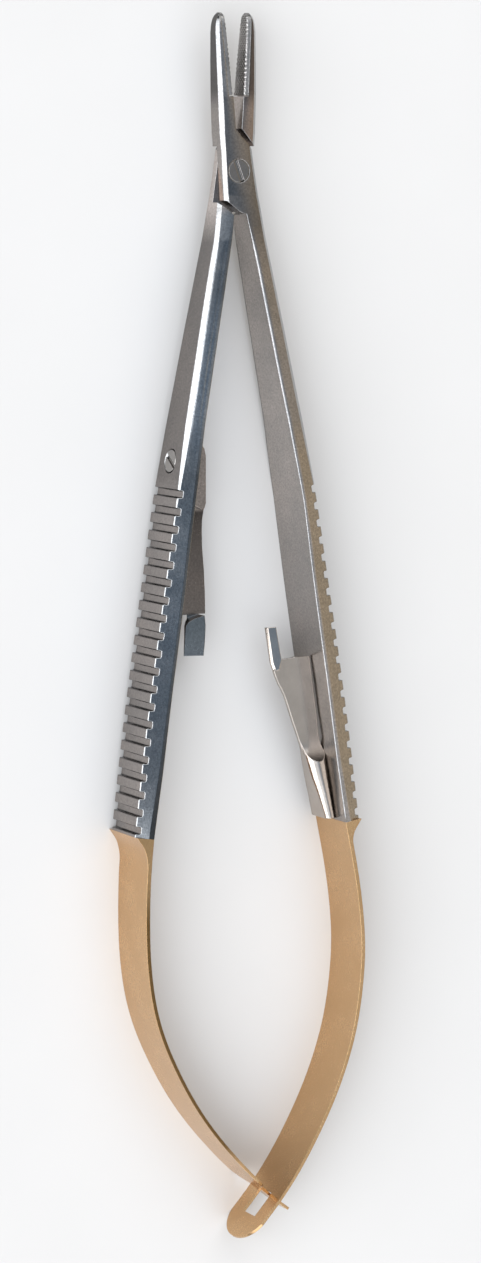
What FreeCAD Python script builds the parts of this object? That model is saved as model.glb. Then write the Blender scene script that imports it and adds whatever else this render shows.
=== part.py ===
import FreeCAD, Part
import math
import os

# Surgical needle holder with a spring handle: two crossed halves turn on one
# screw, each half carries a carbide jaw face, and a gold plated leaf spring
# on each handle end pushes the handles apart.  The instrument lies flat.
# All lengths in mm.  Working frame: pivot at (0, 0), +Y to the jaw tips,
# +X to the right, +Z up and along the pivot screw, z = 0 the middle plane.
# Everything is drawn in the relaxed, open state and then shifted so that the
# origin is the middle of the box's bottom face.

# ---- driving dimensions ---------------------------------------------------
OPEN_HALF_DEG = 4.45      # each jaw face stands this far from the middle plane
HALF_W = 3.75             # half width of the handles and leaf springs
GROOVES = 20              # grip grooves on each handle
GROOVE_PITCH = 2.0
GROOVE_DEPTH = 0.57
GROOVE_Y0 = -35.80        # first groove, at the outer face
LAP_GAP = 0.02            # half of the gap between the two lap plates
SCREW_HEAD_R = 1.28
SCREW_HEAD_T = 0.55
SCREW_R = 0.80
RUN = 0.03                # running clearance round the pivot screw
CATCH_SCREW_R = 0.70
CATCH_HEAD_R = 1.25
CATCH_HEAD_T = 0.60
INSERT_T = 0.55           # carbide face thickness
INSERT_Y = 8.3            # lower end of the carbide face
LEAF_T = 0.48             # leaf spring thickness below its root
LEAF_END_T = 0.32         # and at its end
ROOT_Y = -74.5            # joint between handle end and leaf spring root, at the inner face
ROOT_RISE = 0.30          # the joint is square to the arm, so it is higher at the outer face
ROOT_GAP = 0.02
ROOT_X = 14.31            # outer face of the handle at the joint, where the leaf turns
SLOT_HALF = 1.47          # slot in the right leaf, half width
TONGUE_HALF = 1.22        # tongue of the left leaf, half width
SHIFT = (-0.218, 52.508, HALF_W)

T = math.tan(math.radians(OPEN_HALF_DEG))


def poly_prism(points, z0, z1):
    """Prism over an XY outline from z0 to z1."""
    pts = [FreeCAD.Vector(x, y, z0) for x, y in points]
    face = Part.Face(Part.makePolygon(pts + [pts[0]]))
    return face.extrude(FreeCAD.Vector(0, 0, z1 - z0))


def section(y, xo, xi, ho, b, h, q):
    """Eight-sided cross section of an arm at height y.

    xo outer face, xi inner face, ho half width of the outer face,
    b bevel, h half width at the inner face, q flat beside the inner face."""
    s = 1 if xo > xi else -1
    p = [(xo, -ho), (xo, ho), (xo - s * b, ho + b), (xi + s * q, h), (xi, h),
         (xi, -h), (xi + s * q, -h), (xo - s * b, -ho - b)]
    v = [FreeCAD.Vector(x, y, z) for x, z in p]
    return Part.makePolygon(v + [v[0]])


def arm_loft(stations):
    return Part.makeLoft([section(*s) for s in stations], True, True)


# ---- one half: shank and handle -------------------------------------------
# y, outer x, inner x, half width outer, bevel, half width inner, flat
ARM = [
    (-4.75, 2.83, 0.76, 1.28, 0.42, 1.70, 0.40),
    (-6.2, 3.04, 1.00, 1.40, 0.43, 1.91, 0.40),
    (-7.7, 3.28, 1.27, 1.50, 0.44, 2.10, 0.40),
    (-11.0, 3.98, 1.93, 1.62, 0.47, 2.32, 0.40),
    (-14.4, 4.68, 2.58, 1.75, 0.50, 2.48, 0.40),
    (-17.8, 5.36, 3.25, 1.92, 0.52, 2.63, 0.40),
    (-21.2, 6.03, 3.90, 2.08, 0.54, 2.78, 0.40),
    (-24.6, 6.70, 4.57, 2.22, 0.56, 2.94, 0.40),
    (-28.0, 7.38, 5.25, 2.38, 0.55, 3.12, 0.40),
    (-31.4, 7.98, 5.85, 2.60, 0.42, 3.38, 0.40),
    (-34.8, 8.55, 6.45, 2.85, 0.24, 3.62, 0.38),
    (-37.1, 8.92, 6.86, 2.98, 0.10, 3.73, 0.36),
    (-41.0, 9.55, 7.38, 3.00, 0.07, HALF_W + 0.05, 0.30),
    (-45.0, 10.15, 7.92, 3.00, 0.07, HALF_W + 0.05, 0.26),
    (-49.0, 10.80, 8.49, 3.00, 0.07, HALF_W + 0.05, 0.26),
    (-53.2, 11.47, 9.11, 3.00, 0.07, HALF_W + 0.05, 0.26),
    (-57.3, 12.09, 9.74, 3.00, 0.07, HALF_W + 0.05, 0.26),
    (-62.0, 12.78, 10.40, 3.00, 0.07, HALF_W + 0.05, 0.28),
    (-66.9, 13.43, 11.07, 3.00, 0.07, HALF_W + 0.05, 0.34),
    (-70.9, 13.93, 11.70, 3.00, 0.07, HALF_W + 0.05, 0.46),
    (ROOT_Y + ROOT_GAP, 14.35, 12.25, 3.00, 0.07, HALF_W + 0.05, 0.56),
]
# lap plate, drawn over the whole width of the box
LAP = [
    (4.40, 1.50, -2.26, 0.95, 0.42, 1.40, 0.10),
    (2.30, 1.78, -2.05, 0.97, 0.42, 1.40, 0.10),
    (0.00, 2.12, -1.95, 0.98, 0.42, 1.40, 0.10),
    (-2.70, 2.53, -1.82, 1.02, 0.42, 1.45, 0.10),
    (-4.75, 2.83, -1.72, 1.28, 0.42, 1.70, 0.10),
]
# jaw: the left one of the right half
JAW = [
    (2.30, -2.08, 0.96, 0.44, 1.40),
    (4.40, -2.24, 0.95, 0.45, 1.40),
    (6.00, -2.31, 0.95, 0.45, 1.40),
    (8.20, -2.38, 0.91, 0.45, 1.36),
    (12.2, -2.47, 0.77, 0.40, 1.17),
    (15.4, -2.51, 0.62, 0.36, 0.98),
    (16.2, -2.46, 0.57, 0.33, 0.90),
    (16.6, -2.38, 0.55, 0.30, 0.85),
    (16.9, -2.29, 0.53, 0.26, 0.79),
    (17.15, -2.18, 0.47, 0.22, 0.69),
    (17.35, -2.06, 0.38, 0.17, 0.55),
    (17.5, -1.94, 0.26, 0.11, 0.37),
    (17.6, -1.78, 0.11, 0.05, 0.16),
]


def bevel_plan(stations, side):
    """Wedge that bevels the edge between a side face and both flat faces."""
    out = []
    for up in (1, -1):
        secs = []
        for y, x, h, b in stations:
            p = [(x + side * 1.0, up * (h - b - 1.0)), (x + side * 1.0, up * (h + 1.0)),
                 (x - side * (b + 1.0), up * (h + 1.0))]
            v = [FreeCAD.Vector(px, y, pz) for px, pz in p]
            secs.append(Part.makePolygon(v + [v[0]]))
        out.append(Part.makeLoft(secs, True, True))
    return out


def make_half():
    arm = arm_loft(ARM)
    # box and jaw as plain plates of varying width, bevelled on the outer edges
    def plate(stations):
        secs = []
        for y, xa, xb, h in stations:
            v = [FreeCAD.Vector(x, y, z) for x, z in
                 ((xa, -h), (xa, h), (xb, h), (xb, -h))]
            secs.append(Part.makePolygon(v + [v[0]]))
        return Part.makeLoft(secs, True, True)
    lap = plate([(s[0], s[1], s[2], s[5]) for s in LAP])
    jaw = plate([(s[0], s[1], -T * s[0] - 0.01, s[4]) for s in JAW])
    # the box's upper right corner is cut on the slope that faces the other jaw
    lap = lap.cut(poly_prism([(-0.06, 4.60), (-0.06, 4.24), (1.10, 3.11), (1.40, 2.82),
                              (1.90, 2.25), (3.5, 0.6), (3.5, 4.60)], -4, 4))
    # and its lower left corner on the slope that faces the other shank
    lap = lap.cut(poly_prism([(-4.0, -3.30), (-1.50, -3.36), (-1.36, -3.50), (-0.05, -4.52),
                              (0.30, -4.68), (0.76, -4.80), (0.76, -5.5), (-4.0, -5.5)], -4, 4))
    body = arm.fuse([lap, jaw])
    left = [(17.8, -1.40, 0.12, 0.05), (17.6, -1.78, 0.16, 0.05), (17.5, -1.94, 0.37, 0.11),
            (17.35, -2.06, 0.55, 0.17), (17.15, -2.18, 0.69, 0.22), (16.9, -2.29, 0.79, 0.26),
            (16.6, -2.38, 0.85, 0.30), (16.2, -2.46, 0.90, 0.33), (15.4, -2.51, 0.98, 0.36),
            (12.2, -2.47, 1.17, 0.40), (8.2, -2.38, 1.36, 0.45), (4.4, -2.24, 1.40, 0.45),
            (2.3, -2.08, 1.40, 0.43), (0.0, -1.95, 1.40, 0.42), (-2.7, -1.82, 1.45, 0.42),
            (-4.0, -1.76, 1.55, 0.42)]
    right = [(4.6, 1.47, 1.40, 0.42), (2.3, 1.78, 1.40, 0.42), (0.0, 2.12, 1.40, 0.42),
             (-2.7, 2.53, 1.45, 0.42), (-4.75, 2.83, 1.70, 0.42)]
    for wedge in bevel_plan(left, -1) + bevel_plan(right, 1):
        body = body.cut(wedge)
    # the rear half of the box is left open for the other half's plate
    body = body.cut(poly_prism([(-3.4, 2.60), (-2.02, 2.78), (-1.56, 3.28), (-0.55, 4.50), (-0.2, 4.90), (0.2, 5.3),
                                (4.2, 5.2), (4.2, -2.30), (3.1, -3.12), (0.74, -4.92),
                                (0.4, -5.25), (-3.4, -5.25)], -4, LAP_GAP))
    # grip grooves across the outer face, with broken edges
    cutters = []
    for n in range(GROOVES):
        s = n * GROOVE_PITCH
        y = GROOVE_Y0 - s * 0.9895
        xs = [(a[0], a[1]) for a in ARM]
        for (y1, x1), (y2, x2) in zip(xs, xs[1:]):
            if y2 <= y <= y1:
                x = x1 + (x2 - x1) * (y - y1) / (y2 - y1)
                a = math.atan2(x2 - x1, y1 - y2)
                break
        prof = [(0.6, 0.80), (0.0, 0.50), (-0.08, 0.44), (-GROOVE_DEPTH + 0.16, 0.42),
                (-GROOVE_DEPTH + 0.04, 0.37), (-GROOVE_DEPTH, 0.28)]
        pts = [(d, w) for d, w in prof] + [(d, -w) for d, w in reversed(prof)]
        ca, sa = math.cos(a), math.sin(a)
        # d is measured along the outward normal, w along the arm
        xy = [(x + d * ca + w * sa, y + d * sa - w * ca) for d, w in pts]
        cutters.append(poly_prism(xy, -5, 5))
    body = body.cut(Part.makeCompound(cutters))
    # the arm ends on a plane square to its own direction
    body = body.cut(poly_prism([(12.25, ROOT_Y + ROOT_GAP), (ROOT_X, ROOT_Y + ROOT_GAP + ROOT_RISE),
                                (16.0, ROOT_Y + ROOT_GAP + ROOT_RISE * 3.75 / 2.06), (16.0, -77), (12.25, -77)], -5, 5))
    # flat strips on both sides of the handle, which it rests on
    slab = Part.makeBox(60, 140, 2 * HALF_W, FreeCAD.Vector(-30, -110, -HALF_W))
    return body.common(slab)


def insert_region():
    y0, y1 = INSERT_Y, 19.0
    return poly_prism([(-T * y0 + 0.5, y0), (-T * y0 - INSERT_T, y0),
                       (-T * y1 - INSERT_T, y1), (-T * y1 + 0.5, y1)], -4, 4)


def turned(shape):
    """The other half is the same forging turned half a turn about Y."""
    s = shape.copy()
    s.rotate(FreeCAD.Vector(0, 0, 0), FreeCAD.Vector(0, 1, 0), 180)
    return s


def cyl(r, z0, z1, x=0.0, y=0.0):
    return Part.makeCylinder(r, z1 - z0, FreeCAD.Vector(x, y, z0), FreeCAD.Vector(0, 0, 1))


half = make_half()
region = insert_region()
insert = half.common(region)
half = half.cut(region)

TOP = 1.40
right_half = half.copy()
right_half = right_half.cut(cyl(SCREW_R + RUN, -4, 4))
right_half = right_half.cut(cyl(SCREW_HEAD_R + RUN, TOP - SCREW_HEAD_T - RUN, 4))
left_half = turned(half)
left_half = left_half.cut(cyl(SCREW_R, -4, 4))
insert_left_jaw = insert
insert_right_jaw = turned(insert)

# ---- pivot screw: slotted flat head, threaded into the rear plate ----------
pivot_screw = cyl(SCREW_HEAD_R, TOP - SCREW_HEAD_T, TOP).fuse(cyl(SCREW_R, -TOP, TOP))
slot = Part.makeBox(2 * SCREW_HEAD_R + 1, 0.46, 0.30,
                    FreeCAD.Vector(-SCREW_HEAD_R - 0.5, -0.23, TOP - 0.25))
slot.rotate(FreeCAD.Vector(0, 0, 0), FreeCAD.Vector(0, 0, 1), -70)
pivot_screw = pivot_screw.cut(slot)

# ---- left catch: foot under a screw, thin bar, nose block with a lip --------
foot = poly_prism([(-6.6, -29.75), (-5.85, -29.80), (-5.28, -30.26), (-4.84, -30.92), (-4.66, -31.73),
                   (-4.69, -37.06), (-4.86, -37.60), (-5.14, -37.78), (-6.04, -37.32), (-7.6, -37.20)], -2.0, 2.0)
bar = poly_prism([(-6.3, -36.8), (-4.45, -36.8), (-4.15, -37.6), (-4.40, -39.0), (-4.46, -40.3), (-4.42, -42.2),
                  (-4.22, -44.7), (-4.12, -47.1), (-4.08, -49.72), (-7.30, -49.72), (-6.9, -44.0),
                  (-6.55, -38.4)], -0.45, 0.45)
# the nose's left side leans back, so that it hooks forward over the bar
v = [FreeCAD.Vector(x, -49.4, z) for x, z in
     ((-7.60, 2.00), (-4.70, 2.00), (-4.70, -1.50), (-5.40, -1.50), (-5.60, -0.45), (-6.40, 0.45))]
nose = Part.Face(Part.makePolygon(v + [v[0]])).extrude(FreeCAD.Vector(0, -5.2, 0))
nose = nose.common(poly_prism([(-7.80, -49.42), (-4.94, -49.50), (-4.80, -50.84), (-4.90, -52.63), (-5.08, -54.30),
                               (-7.55, -54.20), (-7.28, -50.80), (-7.80, -50.4)], -1.5, 2.0))
nose = nose.cut(poly_prism([(-8.2, -48.9), (-4.6, -48.9), (-4.86, -49.74), (-6.20, -50.05), (-6.94, -50.42),
                            (-7.24, -50.80), (-8.2, -51.4)], 0.45, 3.0))
lip = poly_prism([(-5.2, -53.0), (-4.25, -53.3), (-3.95, -53.8), (-4.05, -54.2), (-5.2, -54.25)], -1.5, -0.98)
left_catch = foot.fuse([bar, nose, lip]).cut(left_half)

# catch screw, square to the arm's outer face
ang = math.atan2(8.55 - 7.98, 34.8 - 31.4)
head_at = FreeCAD.Vector(-8.135, -32.3, 0)
axis = FreeCAD.Vector(math.cos(ang), -math.sin(ang), 0)     # inwards
back = head_at - axis * 1.0
left_half = left_half.cut(Part.makeCylinder(CATCH_HEAD_R, CATCH_HEAD_T + 1.0, back, axis))
left_half = left_half.cut(Part.makeCone(CATCH_HEAD_R + 0.32, CATCH_HEAD_R, 0.32, head_at - axis * 0.12, axis))
hole = Part.makeCylinder(CATCH_SCREW_R, 4.25, back, axis)
left_half = left_half.cut(hole)
left_catch = left_catch.cut(hole)
catch_screw = Part.makeCylinder(CATCH_HEAD_R, CATCH_HEAD_T, head_at, axis).fuse(
    Part.makeCylinder(CATCH_SCREW_R, 3.25, head_at, axis))
cs = Part.makeBox(0.70, 4.0, 0.50, FreeCAD.Vector(-0.35, -2.0, -0.25))
cs.rotate(FreeCAD.Vector(0, 0, 0), FreeCAD.Vector(1, 0, 0), -60)
cs.rotate(FreeCAD.Vector(0, 0, 0), FreeCAD.Vector(0, 0, 1), -math.degrees(ang))
cs.translate(head_at)
catch_screw = catch_screw.cut(cs)

# ---- right catch: tapered foot on the arm, thin flag, bent-up tab -----------
FLAG_Z0, FLAG_Z1 = -0.05, 0.45
flag = poly_prism([(4.69, -56.83), (5.66, -55.51), (7.15, -55.42), (7.40, -55.33), (9.23, -55.36), (9.50, -57.2),
                   (9.72, -59.0), (10.20, -62.3), (10.42, -63.9), (10.62, -65.4), (10.95, -67.4),
                   (8.78, -67.4), (8.10, -65.50), (7.55, -63.95), (7.03, -62.55), (6.55, -61.1), (6.12, -59.89),
                   (5.72, -59.05), (5.37, -58.47), (5.00, -57.65)], FLAG_Z0, FLAG_Z1)
sections = []
for y, xl, xr in ((-64.6, 7.95, 11.10), (-66.85, 8.59, 11.42), (-68.18, 8.97, 11.62), (-69.73, 9.43, 11.86),
                  (-71.71, 10.12, 12.16), (-74.3, 10.95, 12.56)):
    # half-round front, falling away to the arm again on its right
    a, m, b = (FreeCAD.Vector(xl, y, 0.75), FreeCAD.Vector((xl + xr - 0.30) / 2, y, 1.50),
               FreeCAD.Vector(xr - 0.30, y, 0.75))
    c, d, e = FreeCAD.Vector(xr, y, 0.60), FreeCAD.Vector(xr, y, -2.40), FreeCAD.Vector(xl, y, -2.40)
    sections.append(Part.Wire([Part.Arc(a, m, b).toShape(), Part.makeLine(b, c), Part.makeLine(c, d),
                               Part.makeLine(d, e), Part.makeLine(e, a)]))
base = Part.makeLoft(sections, True, True)
# the foot runs out forwards in a cove and backwards on a slope
base = base.cut(Part.makeBox(8, 6, 3, FreeCAD.Vector(7, -65.0, FLAG_Z1)))
base = base.cut(Part.makeCylinder(3.6, 8, FreeCAD.Vector(7, -65.0, FLAG_Z1 + 3.6), FreeCAD.Vector(1, 0, 0)))
v = [FreeCAD.Vector(6, y, z) for y, z in ((-64.0, FLAG_Z0), (-65.0, FLAG_Z0), (-74.5, -2.20), (-76, -4), (-64, -4))]
base = base.cut(Part.Face(Part.makePolygon(v + [v[0]])).extrude(FreeCAD.Vector(9, 0, 0)))
# the tab leans back a little about the crease between it and the flag
tab = poly_prism([(3.90, -51.80), (5.14, -51.76), (5.66, -55.51), (5.35, -56.7), (4.69, -56.83),
                  (4.36, -55.85)], FLAG_Z0, FLAG_Z1)
tab_edges = [e for e in tab.Edges if abs(e.Vertexes[0].Z - FLAG_Z1) < 1e-6 and abs(e.Vertexes[-1].Z - FLAG_Z1) < 1e-6
             and max(v.X for v in e.Vertexes) < 4.75 and abs(e.Vertexes[0].Y - e.Vertexes[-1].Y) > 0.6]
tab = tab.makeChamfer(0.26, tab_edges)
tab.rotate(FreeCAD.Vector(4.69, -56.83, FLAG_Z1), FreeCAD.Vector(0.97, 1.32, 0), -8)
# a slim gap keeps the flag clear of the arm above the foot
clear = poly_prism([(9.25, -54.0), (9.56, -57.0), (9.88, -59.3), (10.46, -65.0), (10.9, -66.2), (11.3, -66.6),
                    (14.5, -66.6), (14.5, -54.0)], -4, 4)
right_catch = flag.fuse([base, tab]).cut(clear).cut(right_half)

# ---- leaf springs -----------------------------------------------------------
RIGHT_INNER = [(12.25, ROOT_Y - ROOT_GAP), (12.66, -76.6), (13.02, -78.4), (13.58, -81.5), (14.10, -85.5),
               (14.30, -88.4), (14.29, -90.8), (14.10, -93.3), (13.75, -96.0), (13.03, -99.5),
               (11.96, -102.9), (10.57, -106.3), (8.90, -109.6), (7.28, -112.4), (5.65, -114.9),
               (3.50, -117.7), (1.62, -119.8), (-0.80, -122.4)]
LEFT_INNER = [(-12.25, ROOT_Y - ROOT_GAP), (-12.47, -76.6), (-12.66, -78.9), (-12.80, -82.0), (-12.84, -84.9),
              (-12.74, -88.3), (-12.50, -90.9), (-11.98, -94.0), (-10.95, -97.5), (-9.45, -101.0),
              (-7.50, -104.7), (-5.15, -108.3), (-2.42, -111.7), (0.55, -114.9), (3.20, -117.35),
              (6.05, -119.70)]


def leaf(inner, side):
    """Strip whose inner surface follows the given line, a little thinner towards
    its end; its root thickens through a concave curve to the handle's section."""
    def spline(pts):
        c = Part.BSplineCurve()
        c.interpolate([FreeCAD.Vector(x, y, 0) for x, y in pts])
        return c
    ci = spline(inner)
    n = 64
    out = []
    a, b = ci.FirstParameter, ci.LastParameter
    for i in range(n + 1):
        u = a + (b - a) * i / n
        p = ci.value(u)
        t = ci.tangent(u)[0]
        # outward normal
        nx, ny = (-t.y, t.x) if side > 0 else (t.y, -t.x)
        thick = LEAF_T + (LEAF_END_T - LEAF_T) * i / n
        if i and (p.y < -77.4 or p.x * side < 12):
            out.append((p.x + nx * thick, p.y + ny * thick))
    x0 = ROOT_X * side
    root = [(x0, ROOT_Y - ROOT_GAP + ROOT_RISE), (x0 - side * 0.42, -74.80), (x0 - side * 0.86, -75.50),
            (x0 - side * 1.09, -76.2)]
    pts = root + out
    co = spline(pts)
    e1 = ci.toShape()
    e2 = co.toShape()
    p0, p1 = e1.valueAt(e1.FirstParameter), e1.valueAt(e1.LastParameter)
    q0, q1 = e2.valueAt(e2.FirstParameter), e2.valueAt(e2.LastParameter)
    wire = Part.Wire(Part.__sortEdges__([e1, Part.makeLine(p1, q1), e2, Part.makeLine(q0, p0)]))
    face = Part.Face(wire)
    s = face.extrude(FreeCAD.Vector(0, 0, 2 * HALF_W))
    s.translate(FreeCAD.Vector(0, 0, -HALF_W))
    return s


def plan_cutter(outline, at, u, n, depth=3.0):
    """Prism over an outline given along the leaf (s) and across it (z),
    pushed through the leaf along its normal."""
    pts = [FreeCAD.Vector(at[0] + u[0] * s - n[0] * depth, at[1] + u[1] * s - n[1] * depth, z)
           for s, z in outline]
    f = Part.Face(Part.makePolygon(pts + [pts[0]]))
    return f.extrude(FreeCAD.Vector(n[0], n[1], 0) * (2 * depth))


def unit(a, b):
    d = math.hypot(b[0] - a[0], b[1] - a[1])
    return ((b[0] - a[0]) / d, (b[1] - a[1]) / d)


right_spring = leaf(RIGHT_INNER, 1)
u = unit((3.50, -117.7), (-0.80, -122.4))
n = (-u[1], u[0])
end = (-0.80, -122.4)
# the end is round, a little blunter than a half circle
END_LONG, END_WIDE = 3.25, 3.80
c = (end[0] - u[0] * END_LONG, end[1] - u[1] * END_LONG)
c0 = FreeCAD.Vector(c[0] - n[0] * 4, c[1] - n[1] * 4, 0)
rim = Part.Ellipse(c0 + FreeCAD.Vector(0, 0, END_WIDE), c0 + FreeCAD.Vector(u[0], u[1], 0) * END_LONG, c0)
disc = Part.Face(Part.Wire(rim.toShape())).extrude(FreeCAD.Vector(n[0], n[1], 0) * 8)
block = plan_cutter([(0, -HALF_W - 1), (0, HALF_W + 1), (HALF_W + 2, HALF_W + 1), (HALF_W + 2, -HALF_W - 1)],
                    c, u, n, 3.5)
right_spring = right_spring.cut(block.cut(disc))
# rectangular slot for the other leaf's tongue
slot_a, slot_b = (3.62, -117.53), (1.37, -120.05)
us = unit(slot_a, slot_b)
ns = (-us[1], us[0])
length = math.hypot(slot_b[0] - slot_a[0], slot_b[1] - slot_a[1])
right_spring = right_spring.cut(plan_cutter([(0, -SLOT_HALF), (0, SLOT_HALF), (length, SLOT_HALF),
                                             (length, -SLOT_HALF)], slot_a, us, ns))

left_spring = leaf(LEFT_INNER, -1)
# shoulders narrow the left leaf to its tongue
ul = unit((0.55, -114.9), (6.05, -119.70))
nl = (-ul[1], ul[0])
sh = (0.90, -115.25)
for up in (1, -1):
    left_spring = left_spring.cut(plan_cutter(
        [(0, up * HALF_W), (0.75, up * 3.45), (1.35, up * 2.75), (1.75, up * 1.9), (1.95, up * TONGUE_HALF),
         (9, up * TONGUE_HALF), (9, up * 5), (0, up * 5)], sh, ul, nl, 1.6))

PARTS = {
    "right_half": right_half,
    "left_half": left_half,
    "left_jaw_insert": insert_left_jaw,
    "right_jaw_insert": insert_right_jaw,
    "pivot_screw": pivot_screw,
    "left_catch": left_catch,
    "catch_screw": catch_screw,
    "right_catch": right_catch,
    "left_leaf_spring": left_spring,
    "right_leaf_spring": right_spring,
}

os.makedirs("parts", exist_ok=True)
box = None
for name, shape in PARTS.items():
    s = shape.removeSplitter() if name not in ("left_leaf_spring", "right_leaf_spring") else shape
    if len(s.Solids) == 1:
        s = s.Solids[0]
    s = s.copy()
    s.translate(FreeCAD.Vector(*SHIFT))
    PARTS[name] = s
    b = s.optimalBoundingBox() if hasattr(s, "optimalBoundingBox") else s.BoundBox
    box = b if box is None else box.united(b)
    print(name, "solids", len(s.Solids), "valid", s.isValid(), "volume %.3f" % s.Volume,
          "x %.2f..%.2f y %.2f..%.2f z %.2f..%.2f" % (b.XMin, b.XMax, b.YMin, b.YMax, b.ZMin, b.ZMax))
    s.exportStep("parts/%s.step" % name)
print("box x %.3f..%.3f y %.3f..%.3f z %.3f..%.3f" % (box.XMin, box.XMax, box.YMin, box.YMax, box.ZMin, box.ZMax))
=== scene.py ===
import math

import bmesh
import bpy
from mathutils import Matrix, Vector


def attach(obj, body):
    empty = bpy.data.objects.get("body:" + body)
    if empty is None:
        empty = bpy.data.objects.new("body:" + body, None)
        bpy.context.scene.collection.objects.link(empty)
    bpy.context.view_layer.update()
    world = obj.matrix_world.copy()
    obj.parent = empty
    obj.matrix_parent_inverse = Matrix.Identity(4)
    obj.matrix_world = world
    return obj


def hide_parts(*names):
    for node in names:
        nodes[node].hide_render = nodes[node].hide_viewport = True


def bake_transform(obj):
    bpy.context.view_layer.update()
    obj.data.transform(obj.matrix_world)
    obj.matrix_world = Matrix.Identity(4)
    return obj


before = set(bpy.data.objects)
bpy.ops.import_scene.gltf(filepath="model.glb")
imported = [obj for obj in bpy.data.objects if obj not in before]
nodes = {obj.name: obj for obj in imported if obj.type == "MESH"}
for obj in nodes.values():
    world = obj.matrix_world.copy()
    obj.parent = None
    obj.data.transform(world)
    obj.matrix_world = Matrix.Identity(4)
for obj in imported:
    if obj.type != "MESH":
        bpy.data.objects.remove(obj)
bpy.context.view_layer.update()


MM = 0.001
SHIFT = Vector((-0.218, 52.508, 3.75))      # pivot frame (mm) to row frame (mm)
scene = bpy.context.scene


# ---------------------------------------------------------------- materials
class Graph:
    """Small helper round one material's node tree."""

    def __init__(self, name):
        self.mat = bpy.data.materials.new(name)
        self.mat.use_nodes = True
        self.nt = self.mat.node_tree
        self.nt.nodes.clear()
        self.out = self.add("ShaderNodeOutputMaterial")
        self.bsdf = self.add("ShaderNodeBsdfPrincipled")
        self.nt.links.new(self.bsdf.outputs[0], self.out.inputs[0])
        self.coord = self.add("ShaderNodeTexCoord").outputs["Object"]

    def add(self, kind, **props):
        n = self.nt.nodes.new(kind)
        for k, v in props.items():
            setattr(n, k, v)
        return n

    def link(self, a, b):
        self.nt.links.new(a, b)

    def mapped(self, scale=(1, 1, 1), rot=(0, 0, 0)):
        m = self.add("ShaderNodeMapping")
        m.inputs["Scale"].default_value = scale
        m.inputs["Rotation"].default_value = rot
        self.link(self.coord, m.inputs["Vector"])
        return m.outputs[0]

    def noise(self, scale, detail=4.0, rough=0.5, vec=None, distortion=0.0):
        n = self.add("ShaderNodeTexNoise")
        n.inputs["Scale"].default_value = scale
        n.inputs["Detail"].default_value = detail
        n.inputs["Roughness"].default_value = rough
        n.inputs["Distortion"].default_value = distortion
        self.link(vec if vec is not None else self.coord, n.inputs["Vector"])
        return n.outputs["Fac"]

    def ramp(self, fac, stops, interp="LINEAR"):
        r = self.add("ShaderNodeValToRGB")
        r.color_ramp.interpolation = interp
        e = r.color_ramp.elements
        while len(e) < len(stops):
            e.new(0.5)
        for el, (p, c) in zip(e, stops):
            el.position = p
            el.color = (*c, 1) if len(c) == 3 else c
        self.link(fac, r.inputs[0])
        return r.outputs[0]

    def maprange(self, fac, a, b, c, d):
        m = self.add("ShaderNodeMapRange")
        for i, v in enumerate((a, b, c, d), 1):
            m.inputs[i].default_value = v
        self.link(fac, m.inputs[0])
        return m.outputs[0]

    def steps(self, fac, table):
        """Piecewise linear function of fac through the points of the table."""
        total = table[0][1]
        for (a, ka), (b, kb) in zip(table, table[1:]):
            total = self.math("ADD", total, self.maprange(fac, a, b, 0, kb - ka))
        return total

    def math(self, op, a, b=None, c=None):
        m = self.add("ShaderNodeMath", operation=op)
        for i, v in enumerate((a, b, c)):
            if v is None:
                continue
            if isinstance(v, (int, float)):
                m.inputs[i].default_value = v
            else:
                self.link(v, m.inputs[i])
        return m.outputs[0]

    def mix(self, fac, a, b, blend="MIX"):
        m = self.add("ShaderNodeMix", data_type="RGBA", blend_type=blend)
        for i, v in ((0, fac), (6, a), (7, b)):
            if isinstance(v, (int, float)):
                m.inputs[i].default_value = v
            elif isinstance(v, tuple):
                m.inputs[i].default_value = (*v, 1) if len(v) == 3 else v
            else:
                self.link(v, m.inputs[i])
        return m.outputs[2]

    def bump(self, height, strength, distance, normal=None):
        b = self.add("ShaderNodeBump")
        b.inputs["Strength"].default_value = strength
        b.inputs["Distance"].default_value = distance
        self.link(height, b.inputs["Height"])
        if normal is not None:
            self.link(normal, b.inputs["Normal"])
        return b.outputs[0]

    def bevel(self, radius):
        b = self.add("ShaderNodeBevel")
        b.samples = 6
        b.inputs["Radius"].default_value = radius
        return b.outputs[0]


def place(g):
    """Position in mm in the pivot frame, as separate X, Y and Z."""
    v = g.add("ShaderNodeVectorMath", operation="MULTIPLY_ADD")
    v.inputs[1].default_value = (1000, 1000, 1000)
    v.inputs[2].default_value = tuple(-SHIFT)
    g.link(g.coord, v.inputs[0])
    s = g.add("ShaderNodeSeparateXYZ")
    g.link(v.outputs[0], s.inputs[0])
    return s.outputs[0], s.outputs[1], s.outputs[2]


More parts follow.
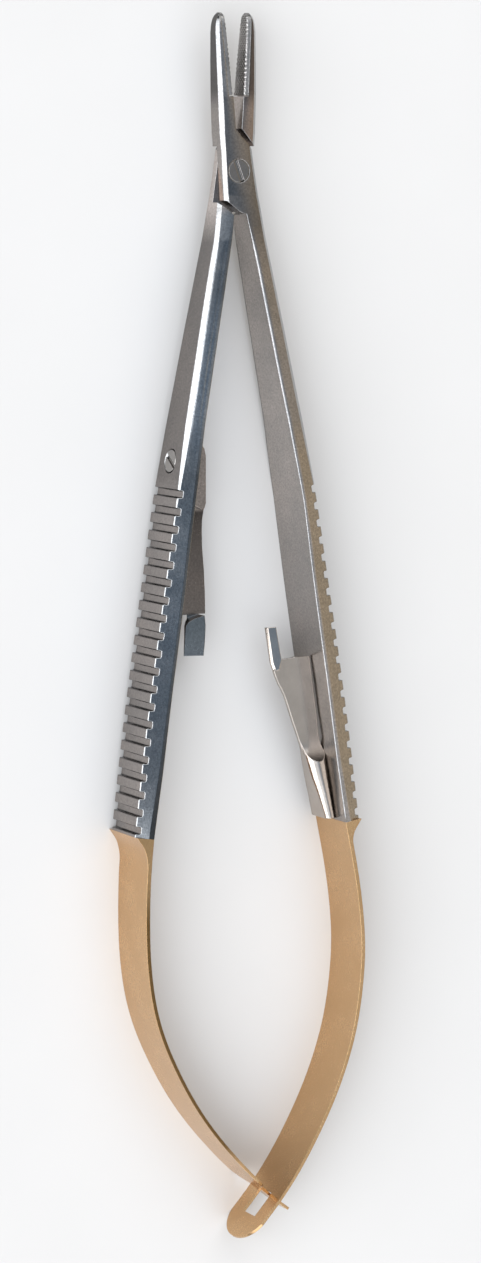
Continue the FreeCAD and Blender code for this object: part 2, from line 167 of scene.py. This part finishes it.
def metal(name, base, dark, light, rough, brush=(1, 1, 1), grain=0.3, edge=0.00006, scratch=0.5, crown=None, handle=False,
          painted_front_light=None, painted_side_light=None, front_reflection_tint=(1, 1, 1), side_reflection_tint=(1, 1, 1), bevel_light_tint=(1.15, 1.25, 1.33), jaw_reflection_tint=None, low_reflection_tint=None,
          edge_shade_x=None):
    """Satin metal: fine directional grain, slow cloudy tone changes, faint scratches, softly rounded edges, and, where
    tables are given, painted light and shade by face direction and along the piece.
    """
    g = Graph(name)
    b = g.bsdf
    b.inputs["Metallic"].default_value = 1.0
    b.inputs["IOR"].default_value = 2.2
    x, y, z = place(g)
    fine = g.noise(8200, 3, 0.65, g.mapped(brush))
    cloud = g.noise(210, 5, 0.6)
    speck = g.noise(4300, 2, 0.7)
    scr = g.noise(1700, 2, 0.5, g.mapped((brush[0] * 2.0, 0.2, brush[2] * 2.0), (0.25, 0.1, 0.6)))
    tone = g.mix(g.maprange(cloud, 0.35, 0.68, 0, 1), dark, base)
    tone = g.mix(g.math("MULTIPLY", g.maprange(fine, 0.45, 0.8, 0, 1), grain), tone, light)
    tone = g.mix(g.math("MULTIPLY", g.maprange(speck, 0.62, 0.75, 0, 1), 0.3), tone, dark)
    bev = g.add("ShaderNodeBevel")
    bev.samples = 8
    bev.inputs["Radius"].default_value = edge
    if handle:
        # edges of the arms are broken more than those of the box and jaws, and not at the plating line
        mid = g.steps(y, [(-74.3, 13.3), (-62.0, 11.6), (-53.2, 10.3), (-41.0, 8.47), (-31.4, 6.9), (-21.2, 4.97),
                          (-11.0, 2.95), (-4.75, 1.8)])
        inner = g.maprange(g.math("SUBTRACT", g.math("MULTIPLY", x, float(crown)), mid), -0.05, 0.05, 1, 0)
        if crown > 0:
            r_in = g.steps(y, [(-36.0, 0.00026), (-27.0, 0.00052), (-9.0, 0.00060), (-6.0, 0.00016)])
            r_out = g.steps(y, [(-9.0, 0.00012), (-6.0, 0.00016)])
        else:
            r_in = g.steps(y, [(-9.0, 0.00014), (-6.0, 0.00008)])
            r_out = g.steps(y, [(-34.0, 0.00014), (-27.0, 0.00032), (-9.0, 0.00032), (-6.0, 0.00008)])
        rad = g.math("ADD", g.math("MULTIPLY", inner, r_in), g.math("MULTIPLY", g.math("SUBTRACT", 1.0, inner), r_out))
        rad = g.math("MULTIPLY", rad, g.maprange(y, -74.0, -73.7, 0, 1))
        g.link(rad, bev.inputs["Radius"])
    if painted_front_light is not None:
        # painted light and shade: flat faces, side faces and bevels each get their own tone along the piece, standing
        # in for how each catches the light
        s = g.add("ShaderNodeSeparateXYZ")
        g.link(bev.outputs[0], s.inputs[0])
        nz = g.math("ABSOLUTE", s.outputs[2])

        def scaled(color, k):
            v = g.add("ShaderNodeVectorMath", operation="SCALE")
            v.inputs[0].default_value = color
            g.link(k, v.inputs["Scale"])
            return v.outputs[0]

        # painted shade: faces across the piece, such as the groove walls, are darkened
        cross = g.maprange(g.math("ABSOLUTE", s.outputs[1]), 0.32, 0.62, 1.0, 0.22)
        # painted light on side faces along the piece; bevels get a painted highlight where the bevel tint is above one
        # and painted shade where it is below
        k = g.mix(g.maprange(nz, 0.35, 0.55, 1, 0), bevel_light_tint, scaled(side_reflection_tint, g.math("MULTIPLY", cross, g.steps(y, painted_side_light))))
        # painted reflection colour on the front faces, a separate one on the jaws and another below y -49.9
        front_light_tint = g.mix(g.maprange(y, -5.0, -3.0, 0, 1), front_reflection_tint, jaw_reflection_tint or front_reflection_tint)
        if low_reflection_tint is not None:
            front_light_tint = g.mix(g.maprange(y, -49.9, -49.6, 1, 0), front_light_tint, low_reflection_tint)
        # painted light and shade on the front faces, stepped along the piece
        front_light_tint = g.mix(1.0, front_light_tint, scaled((1, 1, 1), g.steps(y, painted_front_light)), "MULTIPLY")
        k = g.mix(g.maprange(nz, 0.82, 0.99, 0, 1), k, front_light_tint)
        k = g.mix(1.0, k, scaled((1, 1, 1), g.maprange(speck, 0.3, 0.7, 1.22, 0.82)), "MULTIPLY")
        v = g.add("ShaderNodeVectorMath", operation="MULTIPLY")
        g.link(tone, v.inputs[0])
        g.link(k, v.inputs[1])
        tone = v.outputs[0]
    if edge_shade_x is not None:
        # painted shade: the front-facing thin edge of the left leaf is darkened to a deep brown, less so near its root
        s = g.add("ShaderNodeSeparateXYZ")
        g.link(bev.outputs[0], s.inputs[0])
        m = g.math("MULTIPLY", g.maprange(s.outputs[2], 0.70, 0.90, 0, 1), g.maprange(x, edge_shade_x[0], edge_shade_x[1], 1, 0))
        m = g.math("MULTIPLY", m, g.maprange(y, -84.0, -79.0, 1, 0.25))
        tone = g.mix(m, tone, (0.20, 0.115, 0.045))
    g.link(tone, b.inputs["Base Color"])
    r = g.maprange(fine, 0.3, 0.7, rough - 0.03, rough + 0.05)
    r = g.math("ADD", r, g.maprange(cloud, 0.3, 0.7, -0.03, 0.03))
    g.link(r, b.inputs["Roughness"])
    n = bev.outputs[0]
    if crown is not None:
        # box and jaws are slightly crowned across
        xc = g.math("ADD", g.math("MULTIPLY", g.math("MINIMUM", y, 8.4), -0.155),
                    g.math("MULTIPLY", g.math("MAXIMUM", g.math("SUBTRACT", y, 8.4), 0.0), -0.065))
        dx = g.math("SUBTRACT", g.math("MULTIPLY", x, float(crown)), xc)
        k = g.maprange(y, 3.0, 9.0, 0.055, 0.12)
        k = g.math("MULTIPLY", k, g.maprange(y, -9.0, -4.0, 0, 1))
        h = g.math("MULTIPLY", g.math("MULTIPLY", dx, dx), g.math("MULTIPLY", k, -1.0))
        if handle and crown < 0:
            # so is the left shank's front
            dm = g.math("SUBTRACT", g.math("MULTIPLY", x, float(crown)), mid)
            dm = g.math("MINIMUM", g.math("MAXIMUM", dm, -0.35), 0.53)
            km = g.steps(y, [(-36.5, 0.0), (-31.0, 0.20), (-22.0, 0.27), (-11.0, 0.24), (-9.0, 0.20), (-7.5, 0.0)])
            h = g.math("SUBTRACT", h, g.math("MULTIPLY", g.math("MULTIPLY", dm, dm), km))
        n = g.bump(h, 1.0, 0.001, n)
    n = g.bump(fine, 0.16, 0.000008, n)
    n = g.bump(g.maprange(scr, 0.68, 0.72, 0, 1), 0.10 * scratch, 0.00001, n)
    g.link(n, b.inputs["Normal"])
    return g.mat


STEEL = ((0.300, 0.268, 0.246), (0.245, 0.225, 0.210), (0.40, 0.37, 0.345))
# painted light and shade: tones of front, side and bevel faces along the right half stand in for how each catches the
# light
steel_r = metal("satin_steel_right", *STEEL, 0.20, (1.2, 0.3, 1.2), crown=1, handle=True,
                painted_front_light=[(-70.0, 1.45), (-34.0, 1.30), (-27.0, 1.0), (-12.0, 0.9), (-6.0, 0.62), (8.0, 0.75), (9.0, 1.2)],
                painted_side_light=[(-64.0, 1.12), (-44.0, 1.20), (-30.0, 1.50), (-10.0, 1.80), (7.0, 0.95), (9.0, 0.36)],
                side_reflection_tint=(0.975, 0.985, 0.99), bevel_light_tint=(1.05, 1.14, 1.22))
# painted light and shade along the left half, with a painted bluish reflection on its fronts and a warmer one on its
# jaw
steel_l = metal("satin_steel_left", *STEEL, 0.20, (1.2, 0.3, 1.2), crown=-1, handle=True,
                painted_front_light=[(-74.0, 0.27), (-68.0, 0.30), (-50.0, 0.57), (-34.0, 0.35), (-27.0, 1.05), (-18.0, 0.95),
                        (-13.0, 0.55), (-8.0, 0.60), (7.0, 0.9), (9.0, 0.37)],
                painted_side_light=[(-36.0, 1.02), (-34.0, 0.70), (-8.0, 0.68), (-4.0, 1.9)],
                front_reflection_tint=(0.88, 1.0, 1.12), side_reflection_tint=(0.985, 0.98, 0.985), jaw_reflection_tint=(1.10, 0.97, 0.90),
                bevel_light_tint=(1.25, 1.38, 1.48))
# painted shade on the front of the catch bar and on the bevels, with painted reflection tints: warm on the fronts,
# bluish on the nose
steel = metal("satin_steel", *STEEL, 0.22, (1.2, 0.3, 1.2), edge=0.00010,
              painted_front_light=[(-54.0, 0.78), (-49.9, 0.70), (-49.6, 0.62), (-43.0, 0.50), (-39.5, 0.34), (-38.2, 0.26), (-37.8, 1.0)],
              painted_side_light=[(-54.0, 0.85), (-49.9, 0.85), (-49.2, 0.75), (-38.2, 0.75), (-37.8, 1.0)],
              bevel_light_tint=(0.4, 0.4, 0.4), front_reflection_tint=(1.06, 0.98, 0.93), low_reflection_tint=(0.76, 0.95, 1.12))
pin_steel = metal("pin_steel", (0.225, 0.21, 0.20), (0.18, 0.17, 0.16), (0.34, 0.32, 0.30), 0.17, (1.2, 0.3, 1.2), 0.2, 0.00018)
screw_steel = metal("screw_steel", (0.36, 0.34, 0.32), (0.27, 0.255, 0.24), (0.46, 0.44, 0.42), 0.17, (1.2, 0.3, 1.2), 0.2, 0.00020)
polished = metal("polished_steel", (0.505, 0.45, 0.40), (0.42, 0.375, 0.335), (0.60, 0.555, 0.51), 0.15, (1.2, 0.3, 1.2), 0.15, 0.00014)
# gold plate, with painted shade on the front edge of the left leaf
gold = metal("gold_plate", (0.600, 0.390, 0.205), (0.55, 0.350, 0.175), (0.69, 0.475, 0.275), 0.24, (1.2, 0.25, 1.2), 0.25, 0.00006,
             edge_shade_x=(-3.5, -1.5))
carbide = metal("carbide", (0.44, 0.415, 0.40), (0.22, 0.215, 0.21), (0.72, 0.69, 0.66), 0.22, (1, 1, 1), 0.3, 0.00002)


def dress(name, mat):
    o = nodes[name]
    o.data.materials.clear()
    o.data.materials.append(mat)


dress("left_half", steel_l)
dress("right_half", steel_r)
dress("left_catch", steel)
dress("right_catch", polished)
dress("pivot_screw", pin_steel)
dress("catch_screw", screw_steel)
for name in ("left_jaw_insert", "right_jaw_insert"):
    dress(name, carbide)
for name in ("left_leaf_spring", "right_leaf_spring"):
    dress(name, gold)


def row(x, y, z):
    """Pivot frame (mm) to row frame (m)."""
    return (Vector((x, y, z)) + SHIFT) * MM


def lerp(table, t):
    if t <= table[0][0]:
        return table[0][1]
    for (a, va), (b, vb) in zip(table, table[1:]):
        if t <= b:
            return va + (vb - va) * (t - a) / (b - a)
    return table[-1][1]


# ---------------------------------------------------------------- leaf springs
def bent_leaf(node, name):
    """The leaf as one strip that bends below its root."""
    me = nodes[node].data.copy()
    o = bpy.data.objects.new(name, me)
    scene.collection.objects.link(o)
    for v in me.vertices:
        p = v.co / MM - SHIFT
        # root plane: slants up towards the outer face; the strip is closed up to the arm
        plane = -74.52 + 0.30 * (abs(p.x) - 12.25) / 2.06
        if abs(p.y - plane) < 0.012:
            v.co.y += 0.036 * MM
    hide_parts(node)
    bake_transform(o)
    return o


bent_leaf("left_leaf_spring", "left_leaf_strip")
bent_leaf("right_leaf_spring", "right_leaf_strip")

# ---------------------------------------------------------------- jaw faces
HALF_Z = [(8.2, 1.36), (12.2, 1.17), (15.4, 0.98), (16.2, 0.90), (16.6, 0.85), (16.9, 0.79), (17.15, 0.69),
          (17.35, 0.55), (17.5, 0.37), (17.6, 0.16)]
TAN = math.tan(math.radians(4.45))


def jaw_face(name, node, body, side):
    """Carbide strip with a cross cut gripping face; side is -1 for the left jaw."""
    rows, cols = 190, 48
    bm = bmesh.new()
    rings = []
    for i in range(rows + 1):
        y = 8.42 + (17.575 - 8.42) * i / rows
        h = lerp(HALF_Z, y) - 0.004
        ring = []
        for j in range(cols + 1):
            z = h * (2 * j / cols - 1)
            a = ((y + z) * 0.7071 / 0.36) % 1.0
            b = ((y - z) * 0.7071 / 0.36) % 1.0
            groove = max(0.0, 1 - min(a, 1 - a) / 0.30, 1 - min(b, 1 - b) / 0.30)
            edge = max(0.0, abs(z) - (h - 0.13))
            end = max(0.0, y - 17.35) * 0.4
            x = -TAN * y - 0.016 - 0.10 * groove - edge * 0.9 - end
            ring.append(bm.verts.new(row(x * -side, y, z)))
        ring.append(bm.verts.new(row((-TAN * y - 0.54) * -side, y, h)))
        ring.append(bm.verts.new(row((-TAN * y - 0.54) * -side, y, -h)))
        rings.append(ring)
    n = len(rings[0])
    for r0, r1 in zip(rings, rings[1:]):
        for j in range(n):
            k = (j + 1) % n
            bm.faces.new((r0[j], r0[k], r1[k], r1[j]))
    bm.faces.new(rings[0][::-1])
    bm.faces.new(rings[-1])
    bmesh.ops.recalc_face_normals(bm, faces=bm.faces)
    me = bpy.data.meshes.new(name)
    bm.to_mesh(me)
    bm.free()
    me.materials.append(carbide)
    o = bpy.data.objects.new(name, me)
    scene.collection.objects.link(o)
    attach(o, body)
    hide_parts(node)
    return o


jaw_face("left_jaw_face", "left_jaw_insert", "right_side", -1)
jaw_face("right_jaw_face", "right_jaw_insert", "left_side", 1)

# ---------------------------------------------------------------- floor
mesh = bpy.data.meshes.new("floor")
bm = bmesh.new()
bmesh.ops.create_grid(bm, x_segments=8, y_segments=8, size=2.5)
bm.to_mesh(mesh)
bm.free()
floor = bpy.data.objects.new("floor", mesh)
scene.collection.objects.link(floor)
g = Graph("pale_floor")
g.bsdf.inputs["Roughness"].default_value = 0.7
g.bsdf.inputs["Specular IOR Level"].default_value = 0.2
tone = g.mix(g.noise(60, 4), (0.565, 0.55, 0.535), (0.59, 0.575, 0.56))
g.link(tone, g.bsdf.inputs["Base Color"])
mesh.materials.append(g.mat)

# ---------------------------------------------------------------- studio light
world = bpy.data.worlds.new("studio")
scene.world = world
world.use_nodes = True
nt = world.node_tree
nt.nodes.clear()
out = nt.nodes.new("ShaderNodeOutputWorld")
bg = nt.nodes.new("ShaderNodeBackground")
nt.links.new(bg.outputs[0], out.inputs[0])
co = nt.nodes.new("ShaderNodeTexCoord").outputs["Generated"]


def wmath(kind, op, a, b):
    n = nt.nodes.new(kind)
    n.operation = op
    for i, v in enumerate((a, b)):
        if isinstance(v, (int, float)):
            n.inputs[i].default_value = v
        elif isinstance(v, tuple):
            n.inputs[i].default_value = v
        else:
            nt.links.new(v, n.inputs[i])
    return n


def blob(direction, inner, outer, color):
    """Soft round panel of light: full inside the inner angle, gone at the outer one."""
    d = Vector(direction).normalized()
    dot = wmath("ShaderNodeVectorMath", "DOT_PRODUCT", co, tuple(d)).outputs["Value"]
    m = nt.nodes.new("ShaderNodeMapRange")
    m.interpolation_type = "SMOOTHSTEP"
    m.inputs[1].default_value = math.cos(math.radians(outer))
    m.inputs[2].default_value = math.cos(math.radians(inner))
    nt.links.new(dot, m.inputs[0])
    s = nt.nodes.new("ShaderNodeVectorMath")
    s.operation = "SCALE"
    s.inputs[0].default_value = color
    nt.links.new(m.outputs[0], s.inputs["Scale"])
    return s.outputs[0]


panels = [
    blob((-0.885, -0.1, 0.45), 22, 44, (4.0, 4.1, 4.25)),      # large soft panel to the left
    blob((0.9, -0.1, 0.30), 30, 58, (0.62, 0.50, 0.33)),        # warm, dim side to the right
    blob((0.0, 0.0, 1.0), 25, 62, (0.17, 0.26, 0.38)),          # cool overhead
    blob((0.0, 1.0, 0.95), 20, 40, (1.9, 1.9, 1.9)),
    blob((0.0, -1.0, 0.95), 20, 40, (1.9, 1.9, 1.9)),
]
total = (0.11, 0.12, 0.13)
for p in panels:
    total = wmath("ShaderNodeVectorMath", "ADD", total, p).outputs[0]
nt.links.new(total, bg.inputs[0])
bg.inputs[1].default_value = 1.0

# ---------------------------------------------------------------- camera
FOCAL_PX, HEIGHT_PX = 3786.68, 1263.0
yaw, pitch, roll = 0.471239, 0.113962, -0.00433
tx, ty, depth = -0.62958, 16.00006, 429.2788
d = Vector((math.sin(yaw), 0, -math.cos(yaw)))
r = Vector((math.cos(yaw), 0, math.sin(yaw)))
u = Vector((0, 1, 0))
fwd = math.cos(pitch) * d - math.sin(pitch) * u
up = math.sin(pitch) * d + math.cos(pitch) * u
right = math.cos(roll) * r + math.sin(roll) * up
upv = -math.sin(roll) * r + math.cos(roll) * up
centre = -(tx * right + ty * upv + depth * fwd) - Vector((0, 35.93, 0)) + SHIFT
cam_data = bpy.data.cameras.new("camera")
cam = bpy.data.objects.new("camera", cam_data)
scene.collection.objects.link(cam)
m = Matrix((right, upv, -fwd)).transposed().to_4x4()
m.translation = centre * MM
cam.matrix_world = m
cam_data.sensor_fit = "VERTICAL"
cam_data.sensor_height = 24.0
cam_data.lens = FOCAL_PX / HEIGHT_PX * 24.0
cam_data.clip_start = 0.01
cam_data.clip_end = 20
scene.camera = cam
scene.view_settings.view_transform = "Standard"
